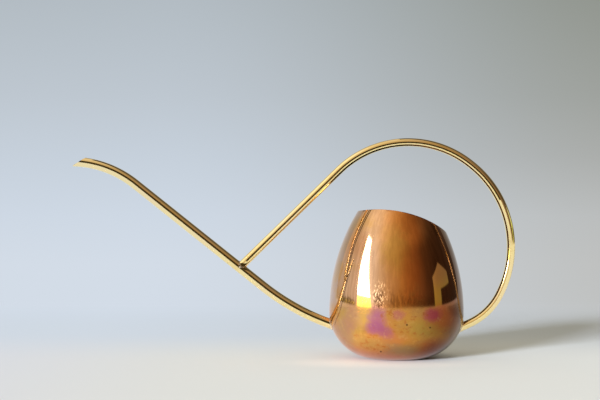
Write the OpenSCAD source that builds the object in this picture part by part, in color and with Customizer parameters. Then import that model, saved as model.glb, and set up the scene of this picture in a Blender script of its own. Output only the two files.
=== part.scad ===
// Long-spouted indoor watering can: an egg-shaped spun copper body with a slanted mouth,
// a thin brass spout tube, and one bent brass tube that is the handle. The handle rises from
// the back of the body, arches over the mouth and comes down onto the spout, so spout, handle
// and body close one loop. The three joints are soldered.
//
// Frame: millimetres, +Z up, the origin at the centre of the flat base. The spout points to
// -X and the handle's arch to +X, and the plane y = 0 is the can's plane of symmetry.
// Slopes are degrees above the horizontal. Turns are degrees, counter-clockwise as seen from
// the front (-Y), in the plane y = 0.

/* [Body] */
// Largest outside diameter of the body
body_d = 131; // [112:1:156]
// Profile radius of the belly, below the widest point
belly_r = 44.8; // [38:0.1:52]
// How far the flat base reaches past the centre of the belly's arc
base_flat = 4.7; // [2:0.1:12]
// Profile radius of the flank, above the widest point
flank_r = 188; // [150:1:240]
// Height of the mouth on the body's axis
mouth_z = 142.4; // [112:0.1:160]
// Slope of the mouth there, high on the spout's side
mouth_slope = 10.2; // [0:0.2:20]
// Radius of the arc that the mouth follows, seen from the side
mouth_r = 121; // [110:1:400]
// Thickness of the spun sheet
wall = 0.9; // [0.6:0.1:2]

/* [Spout] */
// Outside diameter of the spout tube
spout_d = 8; // [6:0.5:12]
// Wall of the spout tube
spout_wall = 0.8; // [0.5:0.1:1.4]
// Height at which the spout's axis leaves the body
spout_z = 33; // [24:0.2:60]
// Slope of the spout where it leaves the body
spout_root_slope = 21.5; // [0:0.5:36]
// Straight length outside the body, before the low bend
spout_root = 8; // [6:0.5:30]
// How far the tube's end reaches in through the wall
spout_in = 5.5; // [4:0.5:12]
// Radius of the low bend
spout_low_r = 227; // [60:1:300]
// Slope of the long straight stretch
spout_slope = 38.6; // [37:0.2:50]
// Length of the long straight stretch
spout_len = 159.7; // [120:0.2:220]
// Radius of the bend before the tip
spout_tip_r = 100.6; // [40:0.2:140]
// Slope of the tip
spout_tip_slope = 3; // [-10:0.5:20]
// Straight length of the tip
spout_tip = 3; // [2:0.5:20]
// Angle between the oblique cut and the tip's axis
tip_cut = 32; // [20:1:90]

/* [Handle] */
// Outside diameter of the handle tube
handle_d = 8; // [6:0.5:12]
// Wall of the handle tube
handle_wall = 0.8; // [0.5:0.1:1.4]
// Height at which the handle's axis leaves the body
handle_z = 29.6; // [24:0.1:50]
// Slope of the handle where it leaves the body
handle_root_slope = 25.2; // [5:0.1:40]
// Straight length outside the body, before the low bend
handle_root = 10; // [6:0.5:20]
// Radius of the low bend
handle_low_r = 61.5; // [45:0.1:80]
// Turn of the low bend
handle_low_turn = 39.5; // [25:0.5:60]
// Radius of the bend at the back of the arch
handle_back_r = 101.5; // [85:0.5:125]
// Turn of the bend at the back of the arch
handle_back_turn = 76.5; // [60:0.5:95]
// Radius of the bend at the top of the arch
handle_top_r = 96.9; // [80:0.1:118]
// Slope of the straight stretch down to the spout
handle_slope = 44.3; // [38:0.1:54]
// Straight length between two bends of the handle
handle_gap = 2; // [1:0.5:10]

/* [Joints] */
// Gap between a tube and the piece that it is fitted to
fit = 0.05; // [0.02:0.01:0.2]
// Width and height of the solder bead round a joint
bead = 0.8; // [0.4:0.1:2]
// How much thinner, in radius, a tube's straight lengths are than its bends
hair = 0.02; // [0.02:0.01:0.1]

/* [Hidden] */
$fn = 180;
copper = [0.80, 0.50, 0.32];
brass = [0.85, 0.69, 0.36];
solder = [0.78, 0.74, 0.64];
// Extra length that carries a cut clear through what it cuts
over = 2;
// How far a straight length runs on into the bend next to it
lap = 1;
// Centres of the profile's two arcs, which share the height of the widest point
belly_x = body_d / 2 - belly_r;
flank_x = body_d / 2 - flank_r;
widest_z = sqrt(belly_r * belly_r - base_flat * base_flat);
// Where each tube's axis leaves the body: x, z and the direction in degrees from +X
spout_start = [-body_radius(spout_z), spout_z, 180 - spout_root_slope];
handle_start = [body_radius(handle_z), handle_z, handle_root_slope];
// A tube is a list of steps, each a straight length, a bend radius and a turn
spout_steps = [
    [spout_root, spout_low_r, spout_root_slope - spout_slope],
    [spout_len, spout_tip_r, spout_slope - spout_tip_slope],
    [spout_tip, 0, 0]
];
handle_low = [handle_root, handle_low_r, handle_low_turn];
handle_back = [handle_gap, handle_back_r, handle_back_turn];
handle_top_turn = 180 + handle_slope - handle_root_slope - handle_low_turn - handle_back_turn;
handle_top = [handle_gap, handle_top_r, handle_top_turn];
// The stretches that meet, and how far down the handle's own stretch the meeting point lies: on
// the spout's long stretch, or on its low bend if the handle comes down before the bend's end
spout_long = after(spout_start, spout_steps[0]);
handle_down = after(after(after(handle_start, handle_low), handle_back), handle_top);
to_long = meeting(handle_down, spout_long);
to_bend = reaching(handle_down, hub(spout_start, spout_steps[0]), spout_low_r);
on_long = past(spout_long, after(handle_down, [to_long, 0, 0])) >= 0;
handle_len = on_long ? to_long : to_bend;
handle_steps = [handle_low, handle_back, handle_top, [handle_len, 0, 0]];
handle_foot = after(handle_down, handle_steps[3]);

// Outside radius of the body at height z
function body_radius(z) =
    z < widest_z
        ? belly_x + sqrt(belly_r * belly_r - pow(z - widest_z, 2))
        : flank_x + sqrt(flank_r * flank_r - pow(z - widest_z, 2));

// Where a tube's axis is, and where it points, after one step
function after(at, step) =
    let (l = step[0], r = step[1] * sign(step[2]), a = at[2], b = at[2] + step[2])
    [at[0] + l * cos(a) + r * (sin(b) - sin(a)), at[1] + l * sin(a) - r * (cos(b) - cos(a)), b];

// Distance along the line p to the point where it meets the line q
function meeting(p, q) =
    ((q[0] - p[0]) * sin(q[2]) - (q[1] - p[1]) * cos(q[2])) / sin(q[2] - p[2]);

// Centre of the bend of one step
function hub(at, step) =
    let (r = step[1] * sign(step[2]), a = at[2])
    [at[0] + step[0] * cos(a) - r * sin(a), at[1] + step[0] * sin(a) + r * cos(a)];

// Distance along the line p to where it leaves a circle
function reaching(p, centre, r) =
    let (x = centre[0] - p[0], z = centre[1] - p[1], near = x * cos(p[2]) + z * sin(p[2]))
    near + sqrt(near * near - x * x - z * z + r * r);

// How far past the start of the line q a point lies
function past(q, at) = (at[0] - q[0]) * cos(q[2]) + (at[1] - q[1]) * sin(q[2]);

// Puts the children's +Z along a tube's axis, and their +X on its clockwise side
module along(at) {
    translate([at[0], 0, at[1]]) rotate([0, 90 - at[2], 0]) children();
}

// Where each of the steps starts, and where the last one ends
function stations(at, steps, i = 0) =
    i == len(steps) ? [at] : concat([at], stations(after(at, steps[i]), steps, i + 1));

// Diameter of the straight lengths of a bar of diameter d
function slim(d) = d - 2 * hair;

// A solid bar that follows the steps, longer by back at its start and by ahead at its end.
// Its straight lengths are a hair thinner than its bends and run a little way into them.
module bar(at, steps, d, back = 0, ahead = 0) {
    starts = stations(at, steps);
    end = len(steps) - 1;
    for (i = [0 : end]) {
        l = steps[i][0];
        r = steps[i][1];
        turn = steps[i][2];
        lead = i == 0 ? back : lap;
        tail = i == end ? ahead : lap;
        along(starts[i]) {
            translate([0, 0, -lead]) cylinder(h = lead + l + tail, d = slim(d));
            if (r > 0)
                translate([turn < 0 ? r : -r, 0, l]) rotate([90, 0, 0])
                    rotate_extrude(angle = abs(turn), start = turn < 0 ? 180 + turn : 0)
                        translate([r, 0]) circle(d = d);
        }
    }
}

// Half of the body's outline, moved inwards by inset
module outline(inset) {
    intersection() {
        translate([belly_x, widest_z]) circle(r = belly_r - inset);
        translate([belly_x, inset]) square([belly_r, widest_z - inset]);
    }
    translate([0, inset]) square([belly_x, widest_z - inset]);
    intersection() {
        translate([flank_x, widest_z]) circle(r = flank_r - inset);
        translate([0, widest_z]) square([body_d, mouth_z]);
    }
}

// The body as a filled solid, uncut at the top, moved inwards by inset
module filled(inset = 0) {
    rotate_extrude() outline(inset);
}

// What the mouth's arc leaves of the body: a cylinder that lies across it, along Y
module below_mouth() {
    translate([0, 0, mouth_z]) rotate([0, mouth_slope, 0]) translate([0, body_d, -mouth_r])
        rotate([90, 0, 0]) cylinder(h = 2 * body_d, r = mouth_r);
}

// A bead of solder round a tube of diameter d that leaves the body at a point
module body_bead(at, d) {
    difference() {
        intersection() {
            filled(-bead);
            along(at) translate([0, 0, -d]) cylinder(h = 2 * d, d = d + 2 * bead);
        }
        filled();
        along(at) translate([0, 0, -d - over]) cylinder(h = 2 * (d + over), d = slim(d));
    }
}

module body() {
    color(copper) difference() {
        intersection() {
            filled();
            below_mouth();
        }
        filled(wall);
        along(spout_start) translate([0, 0, -spout_in - over])
            cylinder(h = spout_in + over + spout_d, d = spout_d + 2 * fit);
    }
}

module spout() {
    end = after(after(spout_long, spout_steps[1]), spout_steps[2]);
    color(brass) difference() {
        bar(spout_start, spout_steps, spout_d, spout_in);
        bar(spout_start, spout_steps, spout_d - 2 * spout_wall, spout_in + over, over);
        along(end) translate([-spout_d / 2, 0, 0]) rotate([0, -tip_cut, 0])
            translate([0, -2 * spout_d, -4 * spout_d]) cube([3 * spout_d, 4 * spout_d, 8 * spout_d]);
    }
}

// The spout up to the end of its long stretch, as a solid bar grown all round
module spout_bar(grow) {
    bar(spout_start, [spout_steps[0], [spout_len, 0, 0]], spout_d + 2 * grow);
}

module handle() {
    color(brass) difference() {
        bar(handle_start, handle_steps, handle_d, handle_d);
        bar(handle_start, handle_steps, handle_d - 2 * handle_wall, handle_d + over, over);
        filled(-fit);
        spout_bar(fit + hair);
    }
}

module spout_solder() {
    color(solder) body_bead(spout_start, spout_d);
}

module handle_solder() {
    color(solder) body_bead(handle_start, handle_d);
}

module joint_solder() {
    reach = 2 * handle_d;
    color(solder) difference() {
        intersection() {
            along(handle_foot) translate([0, 0, -reach]) cylinder(h = reach, d = handle_d + 2 * bead);
            spout_bar(bead);
        }
        along(handle_foot) translate([0, 0, -reach - over])
            cylinder(h = reach + 2 * over, d = handle_d);
        spout_bar(0);
    }
}

body();
spout();
handle();
spout_solder();
handle_solder();
joint_solder();
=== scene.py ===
"""Looks of the long-spouted watering can: tarnished copper body, brass spout and handle, solder."""

import math

import bpy
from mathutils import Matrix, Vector


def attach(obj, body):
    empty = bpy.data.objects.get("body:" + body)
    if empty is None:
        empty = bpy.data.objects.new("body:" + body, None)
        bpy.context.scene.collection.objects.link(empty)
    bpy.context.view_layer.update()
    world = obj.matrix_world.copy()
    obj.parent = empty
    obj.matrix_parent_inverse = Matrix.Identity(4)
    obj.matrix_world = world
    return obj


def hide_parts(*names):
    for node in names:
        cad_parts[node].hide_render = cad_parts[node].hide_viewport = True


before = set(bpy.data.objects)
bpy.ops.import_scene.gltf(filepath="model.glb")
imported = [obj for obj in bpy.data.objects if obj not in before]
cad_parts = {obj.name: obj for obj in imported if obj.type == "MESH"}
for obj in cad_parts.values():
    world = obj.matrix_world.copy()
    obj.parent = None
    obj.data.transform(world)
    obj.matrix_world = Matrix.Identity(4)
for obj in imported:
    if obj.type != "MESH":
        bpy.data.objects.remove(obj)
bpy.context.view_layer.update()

# The part's own sizes, in metres and degrees
BODY_R = 0.0655
BELLY_R = 0.0448
BASE_FLAT = 0.0047
FLANK_R = 0.188
MOUTH_Z = 0.1424
MOUTH_SLOPE = 10.2
MOUTH_R = 0.121
WALL = 0.0009
TUBE_R = 0.004
TUBE_WALL = 0.0008
SPOUT_Z = 0.033
SPOUT_ROOT_SLOPE = 21.5
SPOUT_ROOT = 0.008
SPOUT_IN = 0.0055
SPOUT_LOW_R = 0.227
SPOUT_SLOPE = 38.6
SPOUT_LEN = 0.1597
SPOUT_TIP_R = 0.1006
SPOUT_TIP = 0.003
TIP_SLOPE = 3
TIP_CUT = 32
HANDLE_Z = 0.0296
HANDLE_ROOT_SLOPE = 25.2
HANDLE_SLOPE = 44.3
HANDLE_ROOT = 0.010
HANDLE_LOW_R = 0.0615
HANDLE_BACK_R = 0.1015
HANDLE_TOP_R = 0.0969
HANDLE_GAP = 0.002
LOW_TURN = 39.5
BACK_TURN = 76.5
BELLY_X = BODY_R - BELLY_R
FLANK_X = BODY_R - FLANK_R
WIDEST_Z = math.sqrt(BELLY_R ** 2 - BASE_FLAT ** 2)
ROUND = Vector((0, 1, 0))

# How finely the skins are divided: steps in each arc of the body and round its axis, and the
# degrees of a tube's bend to a step
BELLY_STEPS = 40
FLANK_STEPS = 52
AXIS_STEPS = 200
BEND_STEP = 1.4


# ---------------------------------------------------------------- making pieces

def alone(piece):
    """Selects one piece and nothing else, in object mode."""
    if bpy.context.object and bpy.context.object.mode != "OBJECT":
        bpy.ops.object.mode_set(mode="OBJECT")
    bpy.ops.object.select_all(action="DESELECT")
    piece.select_set(True)
    bpy.context.view_layer.objects.active = piece
    return piece


def begin(name, primitive, **where):
    """Adds a primitive, puts its place into its mesh, and leaves it in edit mode, all selected."""
    bpy.ops.object.select_all(action="DESELECT")
    primitive(**where)
    piece = bpy.context.object
    piece.name = piece.data.name = name
    bpy.ops.object.transform_apply(location=True, rotation=True, scale=True)
    bpy.ops.object.mode_set(mode="EDIT")
    bpy.ops.mesh.select_all(action="SELECT")
    return piece


def end_edit():
    bpy.ops.object.mode_set(mode="OBJECT")


def closed_up(threshold=1e-6):
    """Merges doubles all over and turns the faces outwards."""
    bpy.ops.mesh.select_all(action="SELECT")
    bpy.ops.mesh.remove_doubles(threshold=threshold)
    bpy.ops.mesh.normals_make_consistent(inside=False)


def modified(piece, kind, **settings):
    """Adds a modifier with its settings and applies it."""
    alone(piece)
    modifier = piece.modifiers.new(kind.title(), kind)
    for key, value in settings.items():
        setattr(modifier, key, value)
    bpy.ops.object.modifier_apply(modifier=modifier.name)
    return piece


def cut(piece, cutter, operation="DIFFERENCE"):
    return modified(piece, "BOOLEAN", object=cutter, operation=operation, solver="EXACT")


def twin(piece, name):
    """A copy of a piece, with a mesh of its own."""
    copy = bpy.data.objects.new(name, piece.data.copy())
    copy.data.name = name
    bpy.context.scene.collection.objects.link(copy)
    return copy


def smooth(piece, angle=35):
    alone(piece)
    bpy.ops.object.shade_smooth_by_angle(angle=math.radians(angle))
    return piece


def extrude(step):
    bpy.ops.mesh.extrude_region_move(TRANSFORM_OT_translate={"value": step})


def swing(centre, degrees, steps, axis=ROUND):
    """Spins the selection about a centre, counter-clockwise as seen from the front."""
    bpy.ops.mesh.spin(steps=steps, angle=math.radians(degrees), center=centre, axis=axis)


def body_radius(z):
    x, r = (BELLY_X, BELLY_R) if z < WIDEST_Z else (FLANK_X, FLANK_R)
    return x + math.sqrt(r * r - (z - WIDEST_Z) ** 2)


def heading(degrees):
    return Vector((math.cos(math.radians(degrees)), 0, math.sin(math.radians(degrees))))


def side(degrees):
    """Unit vector to the left of a heading, in the plane of symmetry."""
    return Vector((-math.sin(math.radians(degrees)), 0, math.cos(math.radians(degrees))))


def after(at, step):
    """Place and heading after a straight length and a bend, from a place and heading."""
    place, angle = at
    length, radius, turn = step
    place = place + heading(angle) * length
    if radius:
        hub = place + side(angle) * math.copysign(radius, turn)
        place = hub - side(angle + turn) * math.copysign(radius, turn)
    return place, angle + turn


# Each tube is a place and heading to start from, and steps: a straight length, a bend's radius
# and its turn
spout_start = (Vector((-body_radius(SPOUT_Z), 0, SPOUT_Z)), 180 - SPOUT_ROOT_SLOPE)
spout_steps = [(SPOUT_ROOT, SPOUT_LOW_R, SPOUT_ROOT_SLOPE - SPOUT_SLOPE),
               (SPOUT_LEN, SPOUT_TIP_R, SPOUT_SLOPE - TIP_SLOPE),
               (SPOUT_TIP, 0, 0)]
spout_long = after(spout_start, spout_steps[0])
handle_start = (Vector((body_radius(HANDLE_Z), 0, HANDLE_Z)), HANDLE_ROOT_SLOPE)
top_turn = 180 + HANDLE_SLOPE - HANDLE_ROOT_SLOPE - LOW_TURN - BACK_TURN
handle_steps = [(HANDLE_ROOT, HANDLE_LOW_R, LOW_TURN),
                (HANDLE_GAP, HANDLE_BACK_R, BACK_TURN),
                (HANDLE_GAP, HANDLE_TOP_R, top_turn)]
handle_down = handle_start
for bend in handle_steps:
    handle_down = after(handle_down, bend)
# The handle's last length ends on the axis of the spout's long stretch
across_spout = side(spout_long[1])
handle_len = ((spout_long[0] - handle_down[0]).dot(across_spout)
              / heading(handle_down[1]).dot(across_spout))
handle_steps.append((handle_len, 0, 0))
handle_foot = after(handle_down, handle_steps[-1])


def turned_to(degrees):
    """Rotation that lays a primitive's +Z along a heading."""
    return (0, math.radians(90 - degrees), 0)


def bent_tube(name, start, steps, back):
    """A round tube's outer skin, bent step by step from a ring."""
    place, angle = start
    piece = begin(name, bpy.ops.mesh.primitive_circle_add, vertices=48, radius=TUBE_R,
                  location=place - heading(angle) * back, rotation=turned_to(angle))
    lead = back
    for length, radius, turn in steps:
        extrude(heading(angle) * (lead + length))
        place = place + heading(angle) * length
        lead = 0
        if radius:
            hub = place + side(angle) * math.copysign(radius, turn)
            count = max(4, round(abs(turn) / BEND_STEP))
            swing(hub, abs(turn), count, ROUND if turn > 0 else -ROUND)
            place = hub - side(angle + turn) * math.copysign(radius, turn)
            angle += turn
    return piece


def walled(piece, thickness):
    return modified(piece, "SOLIDIFY", thickness=thickness, offset=-1, use_even_offset=True)


# The body: its outline is drawn as arcs from the middle of the base, then spun round the axis
body_solid = begin("body_solid", bpy.ops.mesh.primitive_plane_add, size=0.001)
bpy.ops.mesh.merge(type="CENTER")
base_r = BELLY_X + BASE_FLAT
extrude((base_r, 0, 0))
belly_turn = 90 - math.degrees(math.asin(BASE_FLAT / BELLY_R))
swing((BELLY_X, 0, WIDEST_Z), belly_turn, BELLY_STEPS)
# The flank is drawn on above the mouth, where it is cut off
flank_turn = 34.5
swing((FLANK_X, 0, WIDEST_Z), flank_turn, FLANK_STEPS)
top_r = FLANK_X + FLANK_R * math.cos(math.radians(flank_turn))
extrude((-top_r, 0, 0))
bpy.ops.mesh.select_all(action="SELECT")
swing((0, 0, 0), 360, AXIS_STEPS, Vector((0, 0, 1)))
closed_up(1e-5)
end_edit()

# The mouth: what lies above an arc seen from the side is cut off
arch = Vector((0, 0, MOUTH_Z)) - side(-MOUTH_SLOPE) * MOUTH_R
mouth_former = begin("mouth_former", bpy.ops.mesh.primitive_cylinder_add, vertices=400,
                     radius=MOUTH_R, depth=0.2, location=arch, rotation=(math.radians(90), 0, 0))
end_edit()
body = twin(body_solid, "copper_body")
cut(body, mouth_former, "INTERSECT")
# The faces that the cut left, which lie on the arc, are taken off to open the mouth
lid_r = MOUTH_R * 0.9997
alone(body)
bpy.ops.object.mode_set(mode="EDIT")
bpy.ops.mesh.select_mode(type="FACE")
bpy.ops.mesh.select_all(action="DESELECT")
end_edit()
for face in body.data.polygons:
    off = face.center - arch
    face.select = math.hypot(off.x, off.z) > lid_r
bpy.ops.object.mode_set(mode="EDIT")
bpy.ops.mesh.delete(type="FACE")
bpy.ops.mesh.select_mode(type="VERT")
closed_up(0.00025)
end_edit()
modified(body, "SOLIDIFY", thickness=WALL, offset=-1, use_even_offset=True, material_offset=1)
modified(body, "BEVEL", width=0.0002, segments=2, limit_method="ANGLE",
         angle_limit=math.radians(50), use_clamp_overlap=False)
smooth(body)

# The spout: its tip is cut off at a slant, the lower lip longest
spout = bent_tube("brass_spout", spout_start, spout_steps, SPOUT_IN)
tip = spout_start
for bend in spout_steps:
    tip = after(tip, bend)
up = -side(tip[1])
bpy.ops.mesh.select_all(action="SELECT")
slant = up * math.cos(math.radians(TIP_CUT)) + heading(tip[1]) * math.sin(math.radians(TIP_CUT))
bpy.ops.mesh.bisect(plane_co=tip[0] - up * TUBE_R, plane_no=slant, clear_outer=True)
closed_up()
end_edit()
walled(spout, TUBE_WALL)
smooth(spout)

# The handle: coped to the body at one end and to the spout at the other
handle = bent_tube("brass_handle", handle_start, handle_steps, 0.006)
closed_up()
end_edit()
walled(handle, TUBE_WALL)
cut(handle, body_solid)
spout_former = begin("spout_former", bpy.ops.mesh.primitive_cylinder_add, vertices=96,
                     radius=TUBE_R, depth=0.06, location=handle_foot[0],
                     rotation=turned_to(spout_long[1]))
end_edit()
cut(handle, spout_former)
smooth(handle)
for former in (body_solid, mouth_former, spout_former):
    bpy.data.objects.remove(former)


def run_solder(name, node, swell):
    """A drawn-out bead of solder: the bead's own form, swollen a little and melted smooth."""
    piece = twin(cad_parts[node], name)
    alone(piece)
    bpy.ops.object.mode_set(mode="EDIT")
    closed_up(1e-5)
    end_edit()
    modified(piece, "DISPLACE", strength=swell, mid_level=0)
    modified(piece, "REMESH", mode="VOXEL", voxel_size=0.00016)
    modified(piece, "SMOOTH", factor=0.5, iterations=9)
    lumps = bpy.data.textures.new(name, "CLOUDS")
    lumps.noise_scale = 0.0022
    modified(piece, "DISPLACE", texture=lumps, texture_coords="GLOBAL", strength=0.00035,
             mid_level=0.5)
    return smooth(piece, 80)


spout_joint = run_solder("spout_solder_run", "spout_solder", 0.00025)
handle_joint = run_solder("handle_solder_run", "handle_solder", 0.00025)
foot_joint = run_solder("foot_solder_run", "joint_solder", 0.0002)


# ---------------------------------------------------------------- finishes

# The width that the body's colours are laid out over
BODY_SPAN = 0.132


def linear(red, green, blue, level=1.0):
    """A colour given on the 0 to 255 scale, as the shader wants it."""
    def one(value):
        value /= 255
        return value / 12.92 if value <= 0.04045 else ((value + 0.055) / 1.055) ** 2.4
    return tuple(min(0.98, one(v) / level) for v in (red, green, blue)) + (1,)


def tint(red, green, blue, table=0.91):
    """The metal colour that looks like this where it mirrors the pale table."""
    return linear(red, green, blue, table)


class Field:
    """A socket that is written in expressions."""

    def __init__(self, finish, socket):
        self.finish = finish
        self.socket = socket

    def number(self, operation, *values):
        return self.finish.add("ShaderNodeMath", {"operation": operation}, dict(enumerate(values)))

    def __add__(self, other): return self.number("ADD", self, other)
    def __radd__(self, other): return self.number("ADD", other, self)
    def __sub__(self, other): return self.number("SUBTRACT", self, other)
    def __rsub__(self, other): return self.number("SUBTRACT", other, self)
    def __mul__(self, other): return self.number("MULTIPLY", self, other)
    def __rmul__(self, other): return self.number("MULTIPLY", other, self)
    def __truediv__(self, other): return self.number("DIVIDE", self, other)

    def rise(self, start, stop, low=0.0, high=1.0):
        """Goes smoothly from low to high as the field goes from start to stop."""
        return self.finish.add("ShaderNodeMapRange", {"interpolation_type": "SMOOTHSTEP"},
                               {0: self, 1: start, 2: stop, 3: low, 4: high})


class Finish:
    """A material and the fields that its surface is written with."""

    def __init__(self, name):
        self.material = bpy.data.materials.new(name)
        self.material.use_nodes = True
        self.tree = self.material.node_tree
        self.tree.nodes.clear()
        self.place = Field(self, self.new("ShaderNodeTexCoord", {}, {}).outputs["Object"])

    def new(self, kind, settings, inputs):
        node = self.tree.nodes.new(kind)
        for key, value in settings.items():
            if key == "stops":
                ramp = node.color_ramp
                while len(ramp.elements) < len(value):
                    ramp.elements.new(0.5)
                for element, (where, colour) in zip(ramp.elements, value):
                    element.position = where
                    element.color = colour
            else:
                setattr(node, key, value)
        for key, value in inputs.items():
            if isinstance(value, Field):
                self.tree.links.new(value.socket, node.inputs[key])
            else:
                node.inputs[key].default_value = value
        return node

    def add(self, kind, settings, inputs, output=0):
        return Field(self, self.new(kind, settings, inputs).outputs[output])

    def axis(self, name):
        return self.add("ShaderNodeSeparateXYZ", {}, {0: self.place}, name)

    def noise(self, scale, detail=3.0, stretch=(1, 1, 1), rough=0.5, shift=(0, 0, 0)):
        where = self.add("ShaderNodeMapping", {}, {"Vector": self.place, "Scale": stretch,
                                                   "Location": shift})
        return self.add("ShaderNodeTexNoise", {}, {"Vector": where, "Scale": scale,
                                                   "Detail": detail, "Roughness": rough})

    def cells(self, scale):
        return self.add("ShaderNodeTexVoronoi", {}, {"Vector": self.place, "Scale": scale},
                        "Distance")

    def patch(self, centre, size, edge=0.5, fray=None, amount=1.0):
        """A soft-edged patch round a point of the surface; fray roughens its outline."""
        away = self.add("ShaderNodeVectorMath", {"operation": "SUBTRACT"},
                        {0: self.place, 1: centre})
        away = self.add("ShaderNodeVectorMath", {"operation": "DIVIDE"}, {0: away, 1: size})
        far = self.add("ShaderNodeVectorMath", {"operation": "LENGTH"}, {0: away}, "Value")
        if fray is not None:
            far = far + fray
        return far.rise(1 + edge / 2, 1 - edge / 2, 0.0, amount)

    def blend(self, amount, under, over, kind="MIX"):
        return self.add("ShaderNodeMix", {"data_type": "RGBA", "blend_type": kind},
                        {0: amount, 6: under, 7: over}, 2)

    def ramp(self, field, *stops):
        return self.add("ShaderNodeValToRGB", {"stops": stops}, {0: field})

    def bump(self, height, strength, distance):
        return self.add("ShaderNodeBump", {}, {"Strength": strength, "Distance": distance,
                                               "Height": height})

    def mixed(self, amount, under, over):
        mix = self.new("ShaderNodeMixShader", {}, {0: amount})
        self.tree.links.new(under.outputs[0], mix.inputs[1])
        self.tree.links.new(over.outputs[0], mix.inputs[2])
        return mix

    def surface(self, shader):
        self.tree.links.new(shader.outputs[0],
                            self.new("ShaderNodeOutputMaterial", {}, {}).inputs[0])
        return self.material

    def metal(self, colour, roughness, normal):
        return self.surface(self.new("ShaderNodeBsdfPrincipled", {}, {
            "Base Color": colour, "Roughness": roughness, "Metallic": 1.0, "Normal": normal}))


def tarnished_copper():
    """The outside of the body: golden and purple heat colours over rosy copper, brown on the
    side under the handle."""
    f = Finish("tarnished_copper")
    broad = f.noise(16, 3)
    middle = f.noise(48, 5, shift=(3, 1, 2), rough=0.6)
    fine = f.noise(210, 4, shift=(1, 5, 2), rough=0.65)
    fray = (middle - 0.5) * 1.9 + (fine - 0.5) * 0.9
    height = f.axis("Z")
    across = f.axis("X")
    # from 0 at the body's left to 1 at its right
    span = across / BODY_SPAN + 0.5
    low = height.rise(0.060, 0.046)
    mottle = broad + (middle - 0.5) * 0.5 + (fine - 0.5) * 0.25
    heated = f.ramp(mottle, (0.30, tint(214, 140, 98)), (0.44, tint(222, 150, 84)),
                    (0.56, tint(220, 158, 78)), (0.72, tint(206, 158, 98)))
    rosy = f.ramp(span + (broad - 0.5) * 0.25,
                  (0.05, tint(204, 166, 140)), (0.30, tint(210, 168, 132)),
                  (0.48, tint(216, 150, 84)), (0.60, tint(222, 142, 76)),
                  (0.74, tint(212, 146, 98)), (0.92, tint(206, 160, 126)))
    rosy = f.blend(mottle.rise(0.50, 0.66) * 0.6, rosy, tint(208, 158, 92))
    colour = f.blend(low, rosy, heated)
    # pink copper still shows at the foot
    colour = f.blend(height.rise(0.015, 0.004) * 0.8, colour, tint(214, 146, 116))
    for centre, size, shade, amount in (
            ((-0.047, -0.043, 0.036), (0.014, 0.02, 0.018), (208, 168, 84), 0.7),
            ((-0.052, -0.030, 0.026), (0.012, 0.02, 0.012), (196, 150, 118), 0.7),
            ((-0.030, -0.052, 0.018), (0.018, 0.02, 0.007), (202, 162, 92), 0.7),
            ((0.024, -0.060, 0.033), (0.022, 0.02, 0.009), (206, 172, 84), 0.75),
            ((0.002, -0.056, 0.0125), (0.016, 0.02, 0.005), (168, 152, 116), 0.55),
            ((0.030, -0.048, 0.014), (0.011, 0.02, 0.008), (196, 112, 82), 0.6),
            ((0.044, -0.048, 0.044), (0.022, 0.02, 0.012), (214, 118, 70), 0.7),
            ((-0.034, -0.052, 0.044), (0.008, 0.02, 0.009), (244, 186, 100), 0.85),
            ((-0.004, -0.056, 0.106), (0.012, 0.02, 0.020), (196, 158, 84), 0.65),
            ((-0.028, 0.055, 0.040), (0.022, 0.02, 0.014), (206, 164, 84), 0.7),
            ((0.034, 0.050, 0.030), (0.018, 0.02, 0.016), (190, 112, 74), 0.7),
            ((0.014, -0.056, 0.090), (0.012, 0.02, 0.022), (204, 130, 70), 0.5),
            ((-0.040, -0.035, 0.112), (0.010, 0.02, 0.014), (206, 150, 116), 0.5)):
        colour = f.blend(f.patch(centre, size, 1.2, fray, amount), colour, tint(*shade))
    # purple bloom
    for centre, size, shade, amount in (
            ((-0.0215, -0.058, 0.043), (0.0070, 0.02, 0.0100), (200, 116, 158), 0.75),
            ((-0.0240, -0.058, 0.033), (0.0080, 0.02, 0.0060), (190, 106, 152), 0.80),
            ((-0.0140, -0.060, 0.030), (0.0065, 0.02, 0.0050), (194, 110, 140), 0.70),
            ((-0.0040, -0.064, 0.046), (0.0055, 0.02, 0.0040), (200, 112, 122), 0.60),
            ((0.0280, -0.058, 0.046), (0.0080, 0.02, 0.0055), (190, 72, 110), 0.75),
            ((-0.0450, -0.045, 0.044), (0.0070, 0.02, 0.0120), (196, 132, 128), 0.45),
            ((0.0200, 0.060, 0.050), (0.0120, 0.02, 0.0140), (190, 110, 150), 0.65),
            ((-0.0450, 0.045, 0.024), (0.0140, 0.02, 0.0100), (184, 104, 128), 0.6),
            ((-0.0200, 0.050, 0.100), (0.0200, 0.02, 0.0160), (196, 120, 116), 0.5)):
        colour = f.blend(f.patch(centre, size, 1.3, fray, amount), colour, tint(*shade))
    flecks = fine.rise(0.55, 0.63) * middle.rise(0.46, 0.56) * low
    colour = f.blend(flecks * 0.5, colour, tint(200, 104, 44))
    colour = f.blend(fine.rise(0.44, 0.36) * low * 0.30, colour, tint(236, 190, 110))
    # brown under the handle
    brown = f.ramp(span + (broad - 0.5) * 0.10 + (middle - 0.5) * 0.06,
                   (0.00, (0.85, 0.85, 0.85, 1)), (0.20, (1, 1, 1, 1)),
                   (0.40, (0.82, 0.80, 0.78, 1)), (0.56, (0.72, 0.68, 0.62, 1)),
                   (0.65, (0.58, 0.54, 0.48, 1)), (0.73, (0.42, 0.36, 0.32, 1)),
                   (0.81, (0.31, 0.25, 0.22, 1)), (0.90, (0.19, 0.155, 0.14, 1)))
    brown = f.blend(height.rise(0.052, 0.070) * across.rise(0.035, 0.020), brown,
                    (0.95, 0.93, 0.90, 1))
    colour = f.blend(low.rise(0, 1, 0.88, 1.0), colour, brown, "MULTIPLY")
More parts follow.
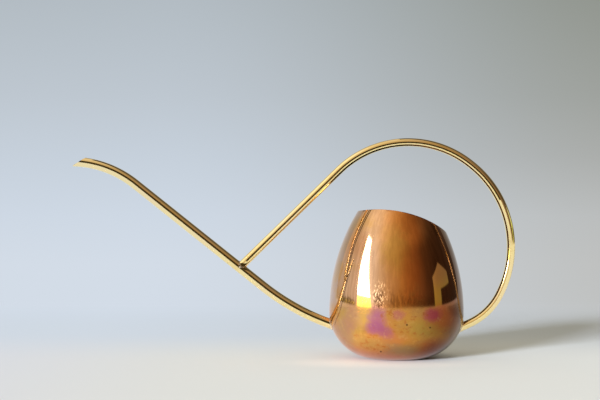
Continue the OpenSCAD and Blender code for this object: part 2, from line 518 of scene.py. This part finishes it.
    # painted shade: the foot is darker where it mirrors the shaded table by the can, and brown on
    # the right
    darker = f.blend(across.rise(0.0, 0.032), (0.74, 0.76, 0.80, 1), (0.54, 0.36, 0.24, 1))
    colour = f.blend(height.rise(0.026, 0.008), colour, darker, "MULTIPLY")
    # small dark pits, three of them larger
    pits = f.cells(95).rise(0.10, 0.05) * f.noise(70, 1, shift=(2, 2, 7)).rise(0.60, 0.68)
    colour = f.blend(pits * 0.8, colour, tint(70, 40, 28))
    for centre in ((-0.018, -0.048, 0.0105), (0.005, -0.064, 0.037), (0.027, -0.055, 0.034)):
        colour = f.blend(f.patch(centre, (0.0009, 0.008, 0.0009), 0.6, None, 0.85), colour,
                         tint(60, 36, 26))
    rough = 0.05 + broad.rise(0.45, 0.75) * 0.04 + low * 0.05 + flecks * 0.10 + pits * 0.3
    wave = f.noise(22, 2) * 0.6 + middle * low * 0.06 + fine * low * 0.012
    return f.metal(colour, rough, f.bump(wave - pits * 0.05, 0.25, 0.0006))


def dull_copper():
    """Inside the body: satin copper, browner where water has stood."""
    f = Finish("dull_copper")
    broad = f.noise(28, 4)
    fine = f.noise(240, 4, shift=(2, 2, 2))
    line = f.axis("Z") + (broad - 0.5) * 0.008
    colour = f.ramp(broad + (fine - 0.5) * 0.3, (0.3, tint(176, 104, 70)),
                    (0.55, tint(196, 126, 82)), (0.75, tint(168, 112, 74)))
    colour = f.blend(line.rise(0.062, 0.054) * 0.6, colour, tint(122, 84, 60))
    ring = line.rise(0.055, 0.058) * line.rise(0.063, 0.059)
    colour = f.blend(ring * 0.6, colour, tint(120, 140, 112))
    rough = 0.24 + fine.rise(0.4, 0.7) * 0.1 + ring * 0.2
    return f.metal(colour, rough, f.bump(fine, 0.2, 0.0002))


def polished_brass(name, warm, cool):
    f = Finish(name)
    broad = f.noise(24, 4)
    fine = f.noise(320, 4)
    spots = f.cells(230).rise(0.20, 0.08) * f.noise(90, 2).rise(0.56, 0.66)
    colour = f.ramp(broad + (fine - 0.5) * 0.25, (0.34, tint(*cool)), (0.56, tint(*warm)),
                    (0.76, tint(230, 200, 134)))
    colour = f.blend(spots * 0.45, colour, tint(150, 120, 70))
    rough = 0.06 + broad.rise(0.5, 0.8) * 0.06 + spots * 0.2
    return f.metal(colour, rough, f.bump(broad * 0.5 + fine * 0.01, 0.1, 0.0003))


def grey_solder():
    f = Finish("grey_solder")
    broad = f.noise(420, 3)
    colour = f.ramp(broad, (0.30, tint(176, 156, 122)), (0.5, tint(240, 226, 204)))
    rough = 0.40 + broad.rise(0.4, 0.7) * 0.15
    return f.metal(colour, rough, f.bump(broad, 0.3, 0.0003))


copper = tarnished_copper()
lining = dull_copper()
spout_brass = polished_brass("spout_brass", (246, 224, 168), (240, 220, 174))
handle_brass = polished_brass("handle_brass", (246, 222, 162), (242, 220, 172))
solder = grey_solder()

for piece, materials, node, slot in (
        (body, (copper, lining), "body", "copper"),
        (spout, (spout_brass,), "spout", "spout_brass"),
        (handle, (handle_brass,), "handle", "handle_brass"),
        (spout_joint, (solder,), "spout_solder", "solder"),
        (handle_joint, (solder,), "handle_solder", "solder"),
        (foot_joint, (solder,), "joint_solder", "solder")):
    piece.data.materials.clear()
    for material in materials:
        piece.data.materials.append(material)
    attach(piece, "root")
    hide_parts(node)


# ---------------------------------------------------------------- table, backdrop and room

# The backdrop: where it leaves the table, the radius it sweeps up with, its height above the
# sweep, half its width, and how far it lies above the table
SWEEP_Y = 0.9
SWEEP_R = 0.35
SHEET_TOP = 0.7
SHEET_X = 1.5
SHEET_UP = 0.0002
ROOM_R = 10
# The flags: how far in front of their tubes they hang, and how much of the arch they follow
FLAG_Y = -0.013
FLAG_TURN = 24


def paper(f):
    """Painted light and shade on the backdrop: bluish on the left, greyer on the right, darker
    towards the top.
    """
    up = f.axis("Z") / 0.6
    left = f.ramp(up, (0.10, linear(211, 220, 231)), (0.25, linear(206, 216, 228)),
                  (0.45, linear(198, 208, 219)), (0.65, linear(190, 199, 208)),
                  (1.00, linear(178, 187, 194)))
    right = f.ramp(up, (0.10, linear(190, 191, 189)), (0.25, linear(186, 188, 187)),
                   (0.45, linear(170, 172, 169)), (0.65, linear(158, 161, 156)),
                   (1.00, linear(144, 148, 140)))
    return f.blend(f.axis("X").rise(-0.40, 0.62), left, right)


def polished_side(f, colour):
    """Makes a colour a little brighter where polished metal shows it."""
    mirrored = f.add("ShaderNodeLightPath", {}, {}, "Is Glossy Ray")
    return f.blend(mirrored, colour, (1.2, 1.2, 1.2, 1), "MULTIPLY")


def table_white():
    """The table in front, fading into the backdrop's colour behind the can."""
    f = Finish("table_white")
    back = f.axis("Y")
    front = f.blend(f.axis("X").rise(-0.12, -0.45), linear(226, 227, 223), linear(220, 223, 230))
    # the polished foot throws a little warm light on the table
    lit = f.patch((-0.012, -0.045, 0), (0.070, 0.035, 1), 1.4)
    front = f.blend(lit * 0.8, front, linear(248, 244, 237))
    colour = f.blend(back.rise(-0.05, 0.30), front, paper(f))
    bsdf = f.new("ShaderNodeBsdfDiffuse", {}, {"Color": polished_side(f, colour)})
    glow = f.new("ShaderNodeEmission", {}, {"Color": polished_side(f, paper(f))})
    return f.surface(f.mixed(back.rise(0.40, 0.85), bsdf, glow))


def backdrop_paper():
    """The backdrop, which is seen only from its front."""
    f = Finish("backdrop_paper")
    glow = f.new("ShaderNodeEmission", {}, {"Color": polished_side(f, paper(f))})
    clear = f.new("ShaderNodeBsdfTransparent", {}, {})
    return f.surface(f.mixed(f.add("ShaderNodeNewGeometry", {}, {}, "Backfacing"), glow, clear))


def room_glow():
    """The room in front of the can, which only its polished metal shows: a window and plants
    on the left, a lit wall in the middle, a dark corner with a lit doorway on the right.
    Angles are in degrees: turn goes to the right from straight in front, rise goes up."""
    f = Finish("room_glow")
    x, y, z = f.axis("X"), f.axis("Y"), f.axis("Z")
    turn = x.number("ARCTAN2", x, y * -1) * (180 / math.pi)
    rise = z.number("ARCSINE", z * (1 / ROOM_R)) * (180 / math.pi)
    streaks = f.noise(1.0, 4, stretch=(1.3, 1.3, 0.05), rough=0.6)
    objects = f.noise(1.0, 4, stretch=(2.6, 2.6, 1.6), shift=(7, 3, 1))
    where = (turn + (streaks - 0.5) * 16) / 360 + 0.5

    def walls(*stops):
        return f.ramp(where, *(((angle + 180) / 360, colour + (1,)) for angle, colour in stops))

    wall = walls((-170, (.16, .15, .14)), (-140, (.56, .54, .48)), (-100, (.68, .64, .54)),
                 (-80, (.78, .70, .60)), (-58, (.90, .90, .90)), (-44, (.90, .86, .80)),
                 (-34, (.72, .64, .52)), (-18, (.60, .48, .32)), (-2, (.50, .38, .24)),
                 (14, (.34, .22, .12)), (34, (.21, .13, .08)), (52, (.085, .06, .045)),
                 (75, (.065, .048, .036)), (105, (.085, .065, .045)), (150, (.14, .12, .10)))
    ceiling = walls((-160, (.40, .38, .33)), (-115, (.86, .80, .66)), (-85, (1.0, .97, .88)),
                    (-58, (1.0, .98, .90)), (-36, (.90, .80, .64)), (-16, (.66, .54, .38)),
                    (4, (.52, .40, .26)), (24, (.36, .25, .14)), (48, (.26, .18, .11)),
                    (70, (.16, .12, .08)), (100, (.09, .07, .05)), (160, (.07, .06, .05)))
    glow = f.blend(rise.rise(32, 44), wall, ceiling)
    glow = f.blend(streaks.rise(0.60, 0.40) * 0.4, glow, (.6, .55, .5, 1), "MULTIPLY")
    # furniture stands low down, in front of the wall
    shapes = rise.rise(18, 3) * objects.rise(0.44, 0.52) * turn.rise(-24, -12)
    glow = f.blend(shapes * 0.55, glow, (.10, .06, .035, 1))
    # plants catch the light beside the window
    plants = f.noise(1.0, 4, stretch=(2.8, 2.8, 3.6), rough=0.65)
    sill = turn.rise(-50, -42) * turn.rise(-12, -30) * rise.rise(21, 9)
    glow = f.blend((sill - plants).rise(0.38, 0.55) * 0.75, glow, (.16, .10, .05, 1))
    glow = f.blend(sill * plants.rise(0.555, 0.60), glow, (2.6, 2.6, 2.4, 1))
    shelf = turn.rise(-76, -82) * turn.rise(-124, -116) * (rise + plants * 8).rise(9, 7)
    glow = f.blend(shelf * 0.85, glow, (.14, .11, .03, 1))
    glow = f.blend(shelf * plants.rise(0.57, 0.60), glow, (1.2, 1.1, .3, 1))
    # a softly lit ceiling overhead, and little light from above the backdrop
    glow = f.blend(rise.rise(56, 74) * turn.rise(75, 15), glow, (.60, .50, .38, 1))
    glow = f.blend(y.rise(5.0, 7.0) * rise.rise(24, 34), glow, (.16, .13, .10, 1))
    # a doorway in the dark corner, wider above than below
    door = turn.rise(63.5, 65) * (rise - turn * 0.25).rise(0.6, -0.4)
    door = door * (rise + turn * 0.39).rise(53.5, 52.5)
    wide = rise.rise(8.5, 9.5) * turn.rise(102, 100) + rise.rise(9.5, 8.5) * turn.rise(80, 78)
    door = door * wide * rise.rise(0.5, 1.5)
    garden = f.blend(rise.rise(16, 6), (.56, .58, .36, 1), (.66, .78, .26, 1))
    glow = f.blend(door * 0.9, glow, garden)
    # the window, narrow at its top, and the sunlit sill under it
    left = (turn + rise * 0.10).rise(-74.5, -73.5)
    right = (turn + rise * 0.55).rise(-45, -46)
    panes = left * right * rise.rise(39, 37)
    veil = left * (turn + rise * 0.55).rise(-35, -47) * rise.rise(42, 36)
    glow = f.blend(veil * 0.9, glow, (1.25, 1.2, 1.15, 1))
    glow = f.blend(panes * rise.rise(6.5, 7.5), glow, (11, 11, 11, 1))
    leaves = panes * rise.rise(7.5, 6.5) * plants.rise(0.40, 0.46)
    glow = f.blend(leaves, glow, (3.0, 2.9, 0.8, 1))
    # the pale edge of the counter
    glow = f.blend(rise.rise(1.7, 1.1), glow, (.74, .74, .72, 1))
    return f.surface(f.new("ShaderNodeEmission", {}, {"Color": glow, "Strength": 1.32}))


def black_flag():
    """A flag that is seen from its tube and not from the front."""
    f = Finish("black_flag")
    facing = f.add("ShaderNodeNewGeometry", {}, {}, "Normal")
    facing = f.add("ShaderNodeSeparateXYZ", {}, {0: facing}, "Y")
    clear = f.new("ShaderNodeBsdfTransparent", {}, {})
    dark = f.new("ShaderNodeEmission", {}, {"Color": (.05, .035, .015, 1)})
    return f.surface(f.mixed(facing.rise(-0.05, 0.05), clear, dark))


def staged(name, primitive, material, **where):
    piece = begin(name, primitive, **where)
    end_edit()
    piece.data.materials.append(material)


def mirrored_only(piece):
    """Keeps a piece out of plain sight, so that only polished metal shows it."""
    piece.visible_camera = piece.visible_diffuse = piece.visible_shadow = False


staged("table", bpy.ops.mesh.primitive_plane_add, table_white(), size=24)

backdrop = begin("backdrop", bpy.ops.mesh.primitive_plane_add, size=0.001,
                 location=(-SHEET_X, SWEEP_Y, SHEET_UP))
bpy.ops.mesh.merge(type="CENTER")
swing((0, SWEEP_Y, SWEEP_R + SHEET_UP), 90, 40, (-1, 0, 0))
extrude((0, 0, SHEET_TOP))
bpy.ops.mesh.select_all(action="SELECT")
extrude((2 * SHEET_X, 0, 0))
bpy.ops.mesh.select_all(action="SELECT")
bpy.ops.mesh.flip_normals()
end_edit()
backdrop.data.materials.append(backdrop_paper())
smooth(backdrop)

# Black flags in front of the tubes, which only the polished metal shows, as a dark line
flag_black = black_flag()
arch_start = after(after(handle_start, handle_steps[0]),
                   (HANDLE_GAP, HANDLE_BACK_R, BACK_TURN - FLAG_TURN))
# The handle's flag stops this far short of the spout
short = 0.010
for name, lift, start, steps in (
        ("spout_flag", 0.0020, spout_start, spout_steps),
        ("handle_flag", -0.0015, arch_start,
         [(0, HANDLE_BACK_R, FLAG_TURN), handle_steps[2], (handle_len - short, 0, 0)])):
    flag = bent_tube(name, start, steps, 0)
    bpy.ops.mesh.select_all(action="SELECT")
    bpy.ops.transform.translate(value=(0, FLAG_Y, lift))
    end_edit()
    flag.data.materials.append(flag_black)
    mirrored_only(flag)

room = begin("room", bpy.ops.mesh.primitive_uv_sphere_add, segments=96, ring_count=64,
             radius=ROOM_R)
bpy.ops.mesh.bisect(plane_co=(0, 0, -0.01), plane_no=(0, 0, -1), clear_outer=True)
end_edit()
room.data.materials.append(room_glow())
mirrored_only(room)


# ---------------------------------------------------------------- light and camera

# The low, soft key comes from the window's side; its own image is kept out of the polished metal
key = bpy.data.lights.new("window_side", "SUN")
key.angle = math.radians(12)
key.energy = 6.4
key.color = (0.97, 1.06, 1.25)
window_side = bpy.data.objects.new("window_side", key)
key_turn = math.radians(-34)
key_rise = math.radians(11.5)
toward = Vector((math.sin(key_turn) * math.cos(key_rise),
                 -math.cos(key_turn) * math.cos(key_rise), math.sin(key_rise)))
window_side.location = toward * 2
window_side.rotation_euler = toward.to_track_quat("Z", "Y").to_euler()
window_side.visible_glossy = False
bpy.context.scene.collection.objects.link(window_side)

# The world: one level lights the table, one shows to the camera and one in the polished metal
world = bpy.data.worlds.new("soft_sky")
bpy.context.scene.world = world
world.use_nodes = True
sky = world.node_tree
sky.nodes.clear()
path = sky.nodes.new("ShaderNodeLightPath")
plain = sky.nodes.new("ShaderNodeBackground")
plain.inputs["Color"].default_value = (0.60, 0.55, 0.44, 1)
shown = sky.nodes.new("ShaderNodeBackground")
shown.inputs["Color"].default_value = linear(212, 216, 222)
mirrored = sky.nodes.new("ShaderNodeBackground")
mirrored.inputs["Color"].default_value = linear(120, 105, 88)
first = sky.nodes.new("ShaderNodeMixShader")
second = sky.nodes.new("ShaderNodeMixShader")
out = sky.nodes.new("ShaderNodeOutputWorld")
for source, target in ((path.outputs["Is Glossy Ray"], first.inputs[0]),
                       (plain.outputs[0], first.inputs[1]), (mirrored.outputs[0], first.inputs[2]),
                       (path.outputs["Is Camera Ray"], second.inputs[0]),
                       (first.outputs[0], second.inputs[1]), (shown.outputs[0], second.inputs[2]),
                       (second.outputs[0], out.inputs[0])):
    sky.links.new(source, target)

camera_data = bpy.data.cameras.new("camera")
camera_data.sensor_width = 36
camera_data.lens = 74.3
camera_data.shift_y = 0.0477
camera = bpy.data.objects.new("camera", camera_data)
camera.location = (-0.0938, -1.208, 0.1259)
camera.rotation_euler = (math.radians(90), 0, 0)
bpy.context.scene.collection.objects.link(camera)
bpy.context.scene.camera = camera
bpy.context.scene.view_settings.view_transform = "Standard"
